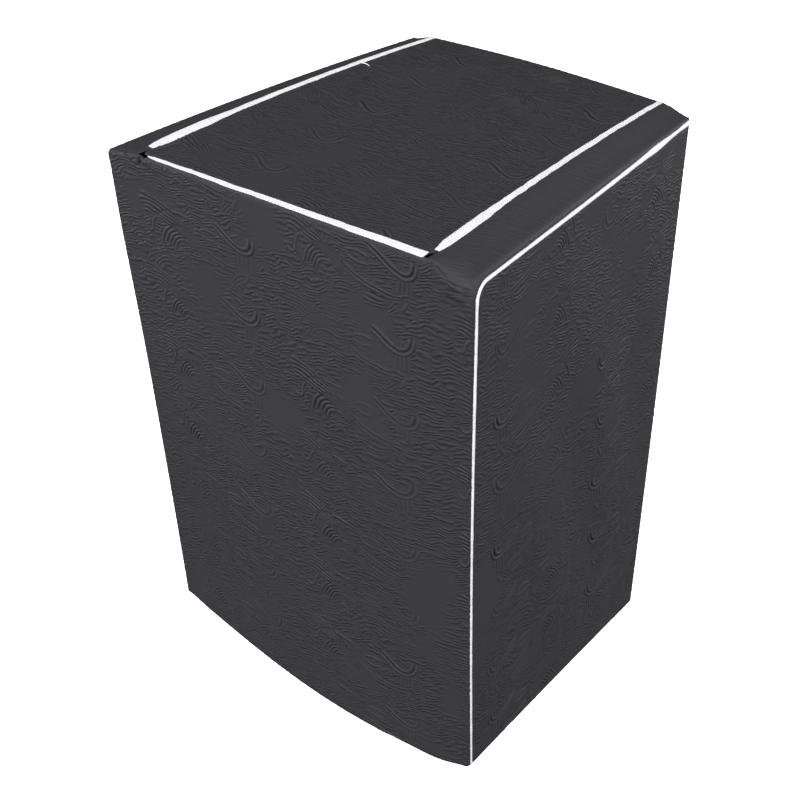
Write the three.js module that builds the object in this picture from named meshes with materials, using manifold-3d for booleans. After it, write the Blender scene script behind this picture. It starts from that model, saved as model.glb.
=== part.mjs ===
// A fitted cloth cover for a top-loading washing machine, in millimetres.
// +X is the cover's right seen from the front, +Y its rear and +Z up. The origin is under the middle
// of its outer box, at the level of the lowest point of the hem.
import * as THREE from "three";
import { mergeVertices } from "three/addons/utils/BufferGeometryUtils.js";
import Module from "manifold-3d";

const wasm = await Module();
wasm.setup();

// Driving dimensions of the whole cover. A reach runs from the middle plane out to one side.
const FRONT_HEM_WIDTH = 600;
const FRONT_TOP_WIDTH = 620;
const REAR_HEM_WIDTH = 592;
const REAR_TOP_REACH = { left: 238, right: 266 };
const TOP_DEPTH = { left: 588, right: 580 };
const HEM_DEPTH = 479;
const HEM_BOW = 30; // how far the slack front hem stands forward of its corners
const HEM_BOW_LEAN = 1.35; // over 1, its fullest place is right of the middle
const HEM_HEIGHTS = { frontLeft: 41, frontRight: 26, rearLeft: 6, rearRight: 0 };

// The top: a raised flap with strips that slope down to the sides
const FLAP_HEIGHTS = { frontLeft: 880, frontRight: 884, rearLeft: 873, rearRight: 865 };
const EDGE_HEIGHTS = { frontLeft: 872, frontRight: 872, rearLeft: 865, rearRight: 854 };
const TOP_CROWN = 8;
const EDGE_CROWN = { left: 8, right: 0 };
const FLAP_FRONT_REACH = { left: 252, right: 242 };
const FLAP_REAR_REACH = { left: 197, right: 218 };
const FRONT_EDGE_RADIUS = 6; // the band's turn under the flap's front edge
const CORNER_RADIUS = { left: 11, right: 31 }; // the same turn at the cover's sides

// Cloth, piping and tape
const CLOTH = 2;
const GAP = 0.3; // between two pieces that meet in a seam
const SEAM_RADIUS = { left: 4, right: 21 }; // the piping's bend at the upper front corner
// The band rolls over onto each side, where its piping lies this far in from the outer faces
const SEAM_SETBACK = { hem: 10, corner: 11, rear: 7 };
const SEAM_SWAY = { front: -5, top: 2.5 }; // what is added to it midway
const PIPING_RADIUS = { hem: 1.9, corner: 2.7, rear: 3.9 };
const TAPE_THICKNESS = 4.4;
const SIDE_TAPE_WIDTH = { frontLeft: 19, frontRight: 14, rearLeft: 9, rearRight: 8 };
const FRONT_TAPE_WIDTH = { left: 10, right: 14 };
const FRONT_TAPE_SETBACK = 9; // from the front plane to the tape's middle
const FRONT_TAPE_REACH = { left: 235, right: 240 };
const CORNER_OPENING = 7; // the side tapes stop this far short of the front one
const SLACK = 3; // the panels' slow waves, in and out

// Steps of each solid. All that meet in a side seam share the seam's steps.
const SEAM_STEPS = { front: 12, turn: 6, top: 12 };
const ACROSS_STEPS = { band: 26, back: 14, flap: 12 };
const ROLL_STEPS = 2; // of the band's steps, over each rolled edge
const ROUND_STEPS = { piping: 8, tape: 12 };
const CUTTER_HEIGHT = 120; // far more than the top's own rise and fall

const DEPTH = Math.max(TOP_DEPTH.left, TOP_DEPTH.right);
const FRONT_Y = (HEM_BOW - DEPTH) / 2;
const REAR_Y = FRONT_Y + DEPTH;
const SEAM_LEVEL = EDGE_HEIGHTS.frontRight;
const CLOTH_MIDDLE = CLOTH / 2;

const CLOTH_FINISH = { color: 0x3d3d41, roughness: 0.72, metalness: 0 };
const TRIM_FINISH = { color: 0xf2f2f4, roughness: 0.8, metalness: 0 };

const mix = THREE.MathUtils.lerp;
const share = (value, from, to) => THREE.MathUtils.clamp((value - from) / (to - from), 0, 1);
const ease = (t) => t * t * (3 - 2 * t);
const handOf = (x) => (x > 0 ? "right" : "left");

// Outer surfaces of the cover. A side is -1 on the left and 1 on the right.

function betweenCorners(values, across, back) {
  const front = mix(values.frontLeft, values.frontRight, across);
  const rear = mix(values.rearLeft, values.rearRight, across);
  return mix(front, rear, back);
}

function hemHeight(across, back) {
  return betweenCorners(HEM_HEIGHTS, across, back);
}

function halfWidth(side, y, z) {
  const up = z / SEAM_LEVEL;
  const front = mix(FRONT_HEM_WIDTH, FRONT_TOP_WIDTH, up) / 2;
  const rear = mix(REAR_HEM_WIDTH / 2, REAR_TOP_REACH[handOf(side)], up);
  return mix(front, rear, (y - FRONT_Y) / DEPTH);
}

function flapEdge(side, y) {
  const back = (y - FRONT_Y) / DEPTH;
  return side * mix(FLAP_FRONT_REACH[handOf(side)], FLAP_REAR_REACH[handOf(side)], back);
}

function topHeight(x, y) {
  const side = x > 0 ? 1 : -1;
  const back = share(y, FRONT_Y, REAR_Y);
  const across = share(x, -FLAP_REAR_REACH.left, FLAP_REAR_REACH.right);
  const swell = 4 * back * (1 - back);
  const outward = ease(share(x, flapEdge(side, y), side * halfWidth(side, y, SEAM_LEVEL)));
  const flap = betweenCorners(FLAP_HEIGHTS, across, back) + TOP_CROWN * swell;
  const edge = betweenCorners(EDGE_HEIGHTS, across, back) + EDGE_CROWN[handOf(x)] * swell;
  return mix(flap, edge, outward);
}

function rearDepth(x, z) {
  const across = share(x, -REAR_TOP_REACH.left, REAR_TOP_REACH.right);
  const height = mix(FLAP_HEIGHTS.rearLeft, FLAP_HEIGHTS.rearRight, across);
  const lean = (mix(TOP_DEPTH.left, TOP_DEPTH.right, across) - HEM_DEPTH) / height;
  return FRONT_Y + HEM_DEPTH + z * lean;
}

// Just inside the leaning back panel
function insideBack(x, z) {
  return rearDepth(x, z) - CLOTH * Math.hypot(1, (DEPTH - HEM_DEPTH) / SEAM_LEVEL) - GAP;
}

// Where the pieces of the top and the piping stop
function topEnd(x) {
  return insideBack(x, topHeight(x, REAR_Y) - SEAM_SETBACK.rear - 2 * PIPING_RADIUS.rear);
}

function frontBow(across, up) {
  const bulge = 1 - (2 * across ** HEM_BOW_LEAN - 1) ** 2;
  return HEM_BOW * bulge * (1 - up) ** 1.3;
}

// Slow waves of loose cloth, nothing at the seams
function slack(across, up, turns) {
  const fade = Math.sin(Math.PI * across) * Math.sin(Math.PI * Math.min(up, 1));
  return SLACK * fade * Math.sin(turns * Math.PI * (across + 0.6 * up) + turns);
}

function pipingRadius(turn) {
  if (turn <= 1) return mix(PIPING_RADIUS.hem, PIPING_RADIUS.corner, turn);
  return mix(PIPING_RADIUS.corner, PIPING_RADIUS.rear, share(turn, 2, 3));
}

// From the piping's middle to the cloth on either side of it
function seamPast(turn) {
  return pipingRadius(turn) + GAP;
}

// From the outer faces to the piping's middle
function seamSetback(turn) {
  if (turn <= 1) {
    const sway = SEAM_SWAY.front * Math.sin(Math.PI * turn);
    return mix(SEAM_SETBACK.hem, SEAM_SETBACK.corner, turn ** 4) + sway;
  }
  const back = share(turn, 2, 3);
  return mix(SEAM_SETBACK.corner, SEAM_SETBACK.rear, back) + SEAM_SWAY.top * Math.sin(Math.PI * back);
}

// A place on the seam's way, 0 to 1, as a turn: 0 to 1 up the front, to 2 over the corner and to 3
// back along the top.
function turnAt(part) {
  const { front, turn, top } = SEAM_STEPS;
  const step = part * (front + turn + top);
  if (step <= front) return step / front;
  if (step <= front + turn) return 1 + (step - front) / turn;
  return 2 + (step - front - turn) / top;
}

// The band's profile at one place across
function bandProfile(across, turn) {
  const out = 2 * across - 1;
  const hand = handOf(out);
  const flapShare = FLAP_FRONT_REACH[hand] / (FRONT_TOP_WIDTH / 2);
  const outward = ease(share(Math.abs(out), flapShare, 1));
  const radius = mix(FRONT_EDGE_RADIUS, CORNER_RADIUS[hand], outward);
  const crest = topHeight(out * halfWidth(out, FRONT_Y, SEAM_LEVEL), FRONT_Y + radius);
  if (turn <= 1) {
    const z = mix(hemHeight(across, 0), crest - radius, turn);
    return [FRONT_Y - frontBow(across, turn) - slack(across, turn, 3), z];
  }
  if (turn <= 2) {
    const angle = ((turn - 1) * Math.PI) / 2;
    return [FRONT_Y + radius * (1 - Math.cos(angle)), crest - radius * (1 - Math.sin(angle))];
  }
  const y = mix(FRONT_Y + radius, topEnd(out * REAR_TOP_REACH[hand]), turn - 2);
  return [y, topHeight(out * halfWidth(out, y, SEAM_LEVEL), y)];
}

// The way in from the band's profile, as a step in y and in z
function inwardWay(turn) {
  const angle = (THREE.MathUtils.clamp(turn - 1, 0, 1) * Math.PI) / 2;
  return [Math.cos(angle), -Math.sin(angle)];
}

// The band's outer face. Past its flat part, its edges roll over onto the sides.
function bandPoint(across, turn) {
  const out = 2 * across - 1;
  const side = out > 0 ? 1 : -1;
  const flatShare = 1 - (2 * ROLL_STEPS) / ACROSS_STEPS.band;
  const flat = share(Math.abs(out), 0, flatShare);
  const angle = (share(Math.abs(out), flatShare, 1) * Math.PI) / 2;
  const [y, z] = bandProfile((1 + side * flat) / 2, turn);
  const [inwardY, inwardZ] = inwardWay(turn);
  const roll = seamSetback(turn) - seamPast(turn);
  const reach = halfWidth(side, Math.max(y, FRONT_Y), z) - roll * (1 - Math.sin(angle));
  const inward = roll * (1 - Math.cos(angle));
  return new THREE.Vector3(side * flat * reach, y + inward * inwardY, z + inward * inwardZ);
}

// The seam's line at one side, seen square on: [y, z], moved inward from the piping's middle
function seamLine(side, turn, past) {
  const inward = seamSetback(turn) + past;
  const radius = SEAM_RADIUS[handOf(side)] - past;
  const middle = SEAM_SETBACK.corner + SEAM_RADIUS[handOf(side)];
  const edge = (y) => topHeight(side * halfWidth(side, y, SEAM_LEVEL), y);
  const crest = edge(FRONT_Y + middle);
  const hem = hemHeight(side > 0 ? 1 : 0, 0);
  if (turn <= 1) return [FRONT_Y + inward, mix(hem, crest - middle, turn)];
  if (turn <= 2) {
    const angle = ((turn - 1) * Math.PI) / 2;
    return [
      FRONT_Y + middle - radius * Math.cos(angle),
      crest - middle + radius * Math.sin(angle),
    ];
  }
  const y = mix(FRONT_Y + middle, topEnd(side * REAR_TOP_REACH[handOf(side)]), turn - 2);
  return [y, edge(y) - inward];
}

function pipingPoint(side, turn) {
  const [y, z] = seamLine(side, turn, 0);
  return new THREE.Vector3(side * (halfWidth(side, y, z) - CLOTH_MIDDLE), y, z);
}

// A side panel: its columns run up from the hem to the seam, over the corner and along the top.
function sidePoint(side, back, up) {
  const across = side > 0 ? 1 : 0;
  const { turn, top } = SEAM_STEPS;
  const column = back * (turn + top);
  const seamTurn = column <= turn ? 1 + column / turn : 2 + (column - turn) / top;
  const [topY, topZ] = seamLine(side, seamTurn, seamPast(seamTurn));
  const [cornerY] = seamLine(side, 1, seamPast(1));
  const rear = topEnd(side * REAR_TOP_REACH[handOf(side)]);
  const part = (topY - cornerY) / (rear - cornerY);
  const hemZ = hemHeight(across, part);
  const hemFront = FRONT_Y + seamSetback(0) + seamPast(0);
  const hemY = mix(hemFront, insideBack(side * REAR_HEM_WIDTH, hemZ), part);
  const sway = seamSetback(up) - mix(SEAM_SETBACK.hem, SEAM_SETBACK.corner, up);
  const z = mix(hemZ, topZ, up);
  const y = mix(hemY, topY, up) + sway * (1 - part) ** 6;
  return new THREE.Vector3(side * (halfWidth(side, y, z) + slack(part, up, 4 + side)), y, z);
}

function backPoint(across, up) {
  const out = 1 - 2 * across;
  const rim = topHeight(out * REAR_TOP_REACH[handOf(out)], REAR_Y);
  const z = mix(hemHeight(1 - across, 1), rim, up);
  const x = out * halfWidth(out, rearDepth(0, z), z);
  return new THREE.Vector3(x, rearDepth(x, z) - Math.abs(slack(across, up, 2)), z);
}

function flapPoint(across, along) {
  const front = FRONT_Y + FRONT_TAPE_SETBACK + frontTapeWidth(across) / 2 + GAP;
  const rear = topEnd(mix(-FLAP_REAR_REACH.left, FLAP_REAR_REACH.right, across));
  const y = mix(front, rear, along);
  const x = mix(...flapSides(y, -1), across);
  return new THREE.Vector3(x, y, topHeight(x, y));
}

function sideTapeWidth(side, y) {
  return betweenCorners(SIDE_TAPE_WIDTH, side > 0 ? 1 : 0, share(y, FRONT_Y, REAR_Y));
}

// From a side tape's middle to the cloth on either side of it
function sideTapeReach(side, y) {
  return sideTapeWidth(side, y) / 2 + GAP;
}

// The flap's two side edges at one depth, moved out by 1 or in by -1 past their tapes
function flapSides(y, outward) {
  return [-1, 1].map((side) => flapEdge(side, y) + outward * side * sideTapeReach(side, y));
}

function frontTapeWidth(across) {
  return mix(FRONT_TAPE_WIDTH.left, FRONT_TAPE_WIDTH.right, across);
}

// Making solids: a plain closed slab or rod is bent, point by point, to its place

function bent(geometry, place) {
  const points = geometry.attributes.position;
  const point = new THREE.Vector3();
  for (let i = 0; i < points.count; i += 1) {
    point.fromBufferAttribute(points, i);
    const moved = place(point.x, point.y, point.z);
    points.setXYZ(i, moved.x, moved.y, moved.z);
  }
  geometry.computeVertexNormals();
  return geometry;
}

function normalAt(surface, u, v) {
  const step = 1e-3;
  const across = surface(u + step, v).sub(surface(u - step, v));
  const along = surface(u, v + step).sub(surface(u, v - step));
  return across.cross(along).normalize();
}

// A sheet of cloth whose outer face is surface(u, v), both from 0 to 1
function clothSheet(surface, columns, rows) {
  const slab = new THREE.BoxGeometry(1, 1, 1, columns, rows, 1);
  return bent(slab, (x, y, z) => {
    const [u, v] = [x + 0.5, y + 0.5];
    return surface(u, v).addScaledVector(normalAt(surface, u, v), CLOTH * (z - 0.5));
  });
}

// A rod along line(t), t from 0 to 1, with half sizes(t) across and through, flattened by squareness
function rod(line, halfSizes, across, roundSteps, alongSteps, squareness) {
  const bar = new THREE.CylinderGeometry(1, 1, 1, roundSteps, alongSteps);
  const flat = (value) => Math.sign(value) * Math.abs(value) ** squareness;
  return bent(bar, (x, y, z) => {
    const t = y + 0.5;
    const step = 1e-3;
    const forward = line(t + step).sub(line(t - step)).normalize();
    const sideways = across.clone().addScaledVector(forward, -across.dot(forward)).normalize();
    const through = sideways.clone().cross(forward);
    const [wide, thick] = halfSizes(t);
    return line(t)
      .addScaledVector(sideways, wide * flat(x))
      .addScaledVector(through, thick * flat(z));
  });
}

function asManifold(geometry) {
  const bare = geometry.clone();
  bare.deleteAttribute("normal");
  bare.deleteAttribute("uv");
  const merged = mergeVertices(bare);
  const vertProperties = new Float32Array(merged.attributes.position.array);
  const triVerts = new Uint32Array(merged.index.array);
  return new wasm.Manifold(new wasm.Mesh({ numProp: 3, vertProperties, triVerts }));
}

function asGeometry(manifold) {
  const mesh = manifold.getMesh();
  const geometry = new THREE.BufferGeometry();
  geometry.setAttribute("position", new THREE.BufferAttribute(new Float32Array(mesh.vertProperties), 3));
  geometry.setIndex(new THREE.BufferAttribute(new Uint32Array(mesh.triVerts), 1));
  geometry.computeVertexNormals();
  return geometry;
}

// The pieces

function frontBand() {
  const rows = SEAM_STEPS.front + SEAM_STEPS.turn + SEAM_STEPS.top;
  const sheet = clothSheet((u, v) => bandPoint(u, turnAt(v)), ACROSS_STEPS.band, rows);
  return asGeometry(asManifold(sheet).subtract(asManifold(flapCutter())));
}

// What is cut out of the band for the flap and its tapes, open to the rear
function flapCutter() {
  const block = new THREE.BoxGeometry(1, 1, 1, ACROSS_STEPS.flap, SEAM_STEPS.top, 1);
  return bent(block, (x, y, z) => {
    const [across, along] = [x + 0.5, y + 0.5];
    const front = FRONT_Y + FRONT_TAPE_SETBACK - frontTapeWidth(across) / 2 - GAP;
    const deep = mix(front, REAR_Y + CORNER_RADIUS.right, along);
    const wide = mix(...flapSides(deep, 1), across);
    return new THREE.Vector3(wide, deep, SEAM_LEVEL + z * CUTTER_HEIGHT);
  });
}

function sidePanel(side) {
  const back = (u) => (side > 0 ? u : 1 - u);
  const columns = SEAM_STEPS.turn + SEAM_STEPS.top;
  return clothSheet((u, v) => sidePoint(side, back(u), v), columns, SEAM_STEPS.front);
}

function sidePiping(side) {
  const steps = SEAM_STEPS.front + SEAM_STEPS.turn + SEAM_STEPS.top;
  const radii = (t) => [pipingRadius(turnAt(t)), pipingRadius(turnAt(t))];
  const line = (t) => pipingPoint(side, turnAt(t));
  return rod(line, radii, new THREE.Vector3(1, 0, 0), ROUND_STEPS.piping, steps, 1);
}

function sideTape(side) {
  const start = FRONT_Y + FRONT_TAPE_SETBACK + FRONT_TAPE_WIDTH.right / 2 + CORNER_OPENING;
  const depth = (t) => mix(start, topEnd(side * FLAP_REAR_REACH[handOf(side)]), t);
  const line = (t) => {
    const y = depth(t);
    const x = flapEdge(side, y);
    return new THREE.Vector3(x, y, topHeight(x, y) - CLOTH_MIDDLE);
  };
  const sizes = (t) => [sideTapeWidth(side, depth(t)) / 2, TAPE_THICKNESS / 2];
  return rod(line, sizes, new THREE.Vector3(1, 0, 0), ROUND_STEPS.tape, SEAM_STEPS.top, 0.6);
}

function frontTape() {
  const y = FRONT_Y + FRONT_TAPE_SETBACK;
  const line = (t) => {
    const x = mix(-FRONT_TAPE_REACH.left, FRONT_TAPE_REACH.right, t);
    return new THREE.Vector3(x, y, topHeight(x, y) - CLOTH_MIDDLE);
  };
  const sizes = (t) => [frontTapeWidth(t) / 2, TAPE_THICKNESS / 2];
  return rod(line, sizes, new THREE.Vector3(0, 1, 0), ROUND_STEPS.tape, SEAM_STEPS.top, 0.6);
}

function piece(name, geometry, finish) {
  const mesh = new THREE.Mesh(geometry, new THREE.MeshStandardMaterial(finish));
  mesh.name = name;
  return mesh;
}

const cover = new THREE.Group();
cover.add(
  piece("front_band", frontBand(), CLOTH_FINISH),
  piece("back_panel", clothSheet(backPoint, ACROSS_STEPS.back, SEAM_STEPS.front), CLOTH_FINISH),
  piece("top_flap", clothSheet(flapPoint, ACROSS_STEPS.flap, SEAM_STEPS.top), CLOTH_FINISH),
  piece("binding_front", frontTape(), TRIM_FINISH),
);
for (const [word, side] of [["left", -1], ["right", 1]]) {
  cover.add(
    piece(`side_${word}`, sidePanel(side), CLOTH_FINISH),
    piece(`piping_${word}`, sidePiping(side), TRIM_FINISH),
    piece(`binding_${word}`, sideTape(side), TRIM_FINISH),
  );
}

export default cover;
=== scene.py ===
from collections import namedtuple
from math import cos, pi, radians, sin

import bmesh
import bpy
import numpy as np
from mathutils import Matrix, Vector


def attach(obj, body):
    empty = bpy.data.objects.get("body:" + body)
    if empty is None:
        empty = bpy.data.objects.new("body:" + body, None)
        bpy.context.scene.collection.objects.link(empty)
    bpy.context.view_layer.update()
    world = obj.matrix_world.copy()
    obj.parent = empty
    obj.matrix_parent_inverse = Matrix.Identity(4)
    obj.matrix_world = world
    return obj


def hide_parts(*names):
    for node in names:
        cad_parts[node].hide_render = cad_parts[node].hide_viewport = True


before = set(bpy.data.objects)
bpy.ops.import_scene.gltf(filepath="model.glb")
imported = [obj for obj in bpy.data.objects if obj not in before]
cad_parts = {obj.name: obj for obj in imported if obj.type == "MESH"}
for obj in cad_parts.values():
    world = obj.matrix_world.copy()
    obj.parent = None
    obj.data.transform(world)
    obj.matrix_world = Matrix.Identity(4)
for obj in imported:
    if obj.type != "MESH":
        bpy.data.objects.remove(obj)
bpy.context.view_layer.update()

MM = 0.001

# Driving dimensions: the solids' own, or up to 5 mm off where the sewn cloth or trim lies otherwise.
# A reach runs from the middle plane out to one side. The sides are -1 on the left and 1 on the right.
Corners = namedtuple("Corners", "front_left front_right rear_left rear_right")

FRONT_HEM_WIDTH = 0.600
FRONT_TOP_WIDTH = 0.620
REAR_HEM_WIDTH = 0.592
REAR_TOP_REACH = {-1: 0.238, 1: 0.266}
TOP_DEPTH = {-1: 0.588, 1: 0.580}
HEM_DEPTH = 0.479
HEM_BOW = 0.030
HEM_BOW_LEAN = 1.35
HEM_HEIGHTS = Corners(0.041, 0.026, 0.006, 0.0)
FLAP_HEIGHTS = Corners(0.880, 0.8815, 0.873, 0.865)
EDGE_HEIGHTS = Corners(0.872, 0.872, 0.865, 0.854)
TOP_CROWN = 0.008
EDGE_CROWN = {-1: 0.006, 1: 0.0}
FLAP_FRONT_REACH = {-1: 0.2545, 1: 0.243}
FLAP_REAR_REACH = {-1: 0.197, 1: 0.2205}
FRONT_EDGE_RADIUS = 0.004
CORNER_RADIUS = {-1: 0.006, 1: 0.031}
CLOTH_MIDDLE = 0.001
SEAM_RADIUS = {-1: 0.004, 1: 0.021}
SEAM_SETBACK = {"hem": 0.010, "corner": 0.011, "rear": 0.007}
SEAM_SWAY = {"front": -0.005, "top": 0.0025}
PIPING_RADIUS = {"hem": 0.0019, "corner": 0.0027, "rear": 0.0034}
FRONT_TAPE_WIDTH = {-1: 0.0062, 1: 0.014}
FRONT_TAPE_SETBACK = 0.0075
FRONT_TAPE_REACH = {-1: 0.235, 1: 0.237}
FRONT_TAPE_FORWARD = 0.0018  # of its setback, at its narrow left end
CORNER_OPENING = {-1: 0.012, 1: 0.0085}
SLACK = 0.003

# How the sewn cloth hangs a little off its solids: its hem is lifted at the front's left corner and dips
# near the right one. The left side stands out at its front top and draws in below, the right side and the
# back stand out at the rear, and the rear edge of the top is crowned.
HEM_LIFT, HEM_LIFT_REACH = 0.008, 0.10  # a place or reach here is a share of the width
HEM_DIP, HEM_DIP_PLACE, HEM_DIP_REACH = 0.005, 0.93, 0.07
LEFT_CORNER_SWELL = 0.0045
LEFT_SWELL_START, LEFT_SWELL_RISE = 0.6, 0.35  # shares of the height
LEFT_DRAW_IN, LEFT_DRAW_TOP = 0.0035, 0.85
RIGHT_REAR_SWELL = 0.002
REAR_STAND = 0.0035
REAR_CROWN = 0.004

DEPTH = max(TOP_DEPTH.values())
FRONT_Y = (HEM_BOW - DEPTH) / 2
REAR_Y = FRONT_Y + DEPTH
SEAM_LEVEL = EDGE_HEIGHTS.front_right
FLAP_SHARE = {side: reach / (FRONT_TOP_WIDTH / 2) for side, reach in FLAP_FRONT_REACH.items()}

# The side tapes, wide at their front and narrower past a short taper
TAPE_WIDTH_FRONT = {-1: 0.0195, 1: 0.0145}
TAPE_WIDTH_MIDDLE = {-1: 0.0118, 1: 0.0100}
TAPE_WIDTH_REAR = {-1: 0.0092, 1: 0.0080}
TAPE_TAPER = {"start": 0.115, "end": 0.180}

# The cloth as it is sewn
CLOTH_THICKNESS = 0.0015
CELL = 0.0078  # of the cloth's inner face; the outer one has cells of half and a quarter of it
FRONT_LENGTH, FRONT_EDGE_LENGTH = 0.84, 0.050  # the lengths that its cells are counted on
SIDE_LENGTH, SIDE_CORNER_LENGTH = 0.85, 0.04
ROLL_SHARE = 0.96  # of the band's width is flat, and the rest rolls over onto the sides
ROLL_LENGTH = 0.013
ROLL_SQUARENESS = {-1: 0.35, 1: 0.95}  # 1 is round
SEAM_TUCK = 0.0010
SEAM_TUCK_WIDTH = 0.006
REAR_SEAM_RADIUS = 0.0025
FLAP_INSET = {"front": 0.0004, "rear": 0.001}
NOTCH_DEPTH, NOTCH_WIDTH = 0.012, 0.0050  # the flap's front corners are open between its tapes
PUCKER = 0.0004
PUCKER_PITCH = 0.013
PUCKER_REACH = 0.011

# The white trim's small parts
TAPE_HALF_THICKNESS = 0.0009
TAPE_SWAY, TAPE_UNEVENNESS = 0.0004, 0.0003  # of its middle line and of its half width
TAPE_START_WIDTH = {"side": 0.5, "front": 0.25}  # of its width further on
TAPE_START_TAPER = {"side": 0.05, "front": 0.035}  # of its whole length
SIDE_TAPE_START_THICKNESS, SIDE_TAPE_START_TAPER = 0.7, 0.01
SIDE_TAPE_END_SETBACK = 0.003
FRONT_TAPE_SUNK = 0.0003
PIPING_UNEVENNESS = 0.05
STITCH_PITCH = 0.0042
STITCH_THICKNESS = 0.0004
STITCH_ROW = 0.28  # of the tape's width, from its middle toward the flap
STITCH_SPAN = (0.02, 0.995)  # of the tape's length
TAPE_TAIL_START = Vector((-0.2075, 0.141, 0))
TAPE_TAIL_LENGTH = 0.020
TAPE_TAIL_LEAN = 0.2
TAPE_TAIL_LIFT, TAPE_TAIL_ARCH = 0.0015, 0.001
TAPE_TAIL_HALF_WIDTH, TAPE_TAIL_HALF_THICKNESS = 0.0022, 0.0005

# Where the piping swells, or thins for less than nothing: at a turn along its seam, over a reach of it
# either way, and by a share of its radius
Swelling = namedtuple("Swelling", "turn reach share")
PIPING_SWELLINGS = (Swelling(2.80, 0.06, 0.42), Swelling(2.92, 0.04, -0.25))

# How a rod is made: 1 is round and less is squarer, with its sides counted round it and steps along it
Rod = namedtuple("Rod", "squareness sides step")
PIPING_ROD = Rod(1, 14, 0.0035)
TAPE_ROD = Rod(0.5, 16, 0.003)
TAIL_ROD = Rod(0.6, 10, 0.002)
STITCH_ROD = Rod(1, 6, STITCH_PITCH / 5)

# The emboss: its repeat on the cloth, its height, and how far from a seam it is pressed flat
REPEAT_WIDTH, REPEAT_HEIGHT = 270, 112
RELIEF = 0.0013
PRESSED_FLAT = 0.010
STRIP_RELIEF = 0.35  # beside the flap, of that on the front
SIDE_RELIEF = {"hem": 1.45, "top": 0.85}
FLAP_RELIEF = {"front": 0.75, "rear": 1.1}
WANDER = 0.004
WEAR = {"mean": 0.75, "swing": 0.35, "size": 0.2, "least": 0.25, "most": 1.1}
CROSSING_LOSS = 0.8  # of the weaker stroke's depth, where two cross
LEAST_DIVIDED = 0.02  # the depth below which no face is divided for the emboss
FINE_SHARES = {  # of each panel's faces, divided once more for the emboss
    "cloth_band": 0.30,
    "cloth_side_left": 0.2,
    "cloth_side_right": 0.45,
    "cloth_back": 0.15,
    "cloth_flap": 0.45,
}

# The camera that sees the cover as it was photographed
CAMERA_AZIMUTH, CAMERA_ELEVATION, CAMERA_ROLL = 40.02, 35.39, -2.26
CAMERA_DISTANCE = 2.085
CAMERA_TARGET = Vector((0.0, -0.0457, 0.4445))
CAMERA_LENS = 60.56


# Small numeric helpers


def mix(a, b, t):
    return a + (b - a) * t


def share(value, low, high):
    return np.clip((value - low) / (high - low), 0, 1)


def ease(t):
    t = np.clip(t, 0, 1)
    return t * t * (3 - 2 * t)


def unit(vectors):
    return vectors / np.linalg.norm(vectors, axis=-1, keepdims=True)


def side_of(x):
    return np.where(np.asarray(x) > 0, 1, -1)


def by_side(x, values):
    return np.where(np.asarray(x) > 0, values[1], values[-1])


def between_corners(values, across, back):
    front = mix(values.front_left, values.front_right, across)
    rear = mix(values.rear_left, values.rear_right, across)
    return mix(front, rear, back)


def waves(u, v, size, seed, count=9):
    """Slow, even waves of about that size over the cloth, mostly from -1 to 1"""
    draw = np.random.default_rng(seed)
    total = np.zeros(np.broadcast(u, v).shape)
    for _ in range(count):
        angle, start = draw.uniform(0, 2 * pi, 2)
        pitch = size * draw.uniform(0.7, 1.5)
        total += np.sin(2 * pi * (u * cos(angle) + v * sin(angle)) / pitch + start)
    return total / np.sqrt(count)


# Outer surfaces of the cover


def hem_height(across, back):
    lift = HEM_LIFT * np.exp(-across / HEM_LIFT_REACH)
    dip = HEM_DIP * np.exp(-(((across - HEM_DIP_PLACE) / HEM_DIP_REACH) ** 2))
    return between_corners(HEM_HEIGHTS, across, back) + (lift - dip) * (1 - share(back, 0, 1)) ** 4


def side_swell(side, back, up):
    corner = LEFT_CORNER_SWELL * ease((up - LEFT_SWELL_START) / LEFT_SWELL_RISE) * (1 - back) ** 1.5
    drawn_in = LEFT_DRAW_IN * np.sin(pi * share(up, 0, LEFT_DRAW_TOP)) * (1 - back)
    rear = RIGHT_REAR_SWELL * (1 + np.clip(up, 0, 1) ** 4) * back**2
    return by_side(side, {-1: corner - drawn_in, 1: rear})


def half_width(side, y, z):
    up, back = z / SEAM_LEVEL, (y - FRONT_Y) / DEPTH
    front = mix(FRONT_HEM_WIDTH, FRONT_TOP_WIDTH, up) / 2
    rear = mix(REAR_HEM_WIDTH / 2, by_side(side, REAR_TOP_REACH), up)
    return mix(front, rear, back) + side_swell(side, np.clip(back, 0, 1), up)


def flap_edge(side, y):
    back = (y - FRONT_Y) / DEPTH
    return side * mix(by_side(side, FLAP_FRONT_REACH), by_side(side, FLAP_REAR_REACH), back)


def across_flap(x):
    return share(x, -FLAP_REAR_REACH[-1], FLAP_REAR_REACH[1])


def top_height(x, y):
    side = side_of(x)
    back = share(y, FRONT_Y, REAR_Y)
    swell = 4 * back * (1 - back)
    outward = ease(share(x, flap_edge(side, y), side * half_width(side, y, SEAM_LEVEL)))
    flap = between_corners(FLAP_HEIGHTS, across_flap(x), back) + TOP_CROWN * swell
    flap += REAR_CROWN * np.sin(pi * across_flap(x)) * back**3
    edge = between_corners(EDGE_HEIGHTS, across_flap(x), back) + by_side(x, EDGE_CROWN) * swell
    return mix(flap, edge, outward)


def rear_depth(x, z):
    across = share(x, -REAR_TOP_REACH[-1], REAR_TOP_REACH[1])
    height = mix(FLAP_HEIGHTS.rear_left, FLAP_HEIGHTS.rear_right, across)
    lean = (mix(TOP_DEPTH[-1], TOP_DEPTH[1], across) - HEM_DEPTH) / height
    stand = REAR_STAND + REAR_CROWN * np.sin(pi * across) * share(z, 0, height) ** 6
    return FRONT_Y + HEM_DEPTH + z * lean + stand


def top_end(x):
    return rear_depth(x, top_height(x, REAR_Y)) - REAR_SEAM_RADIUS


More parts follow.
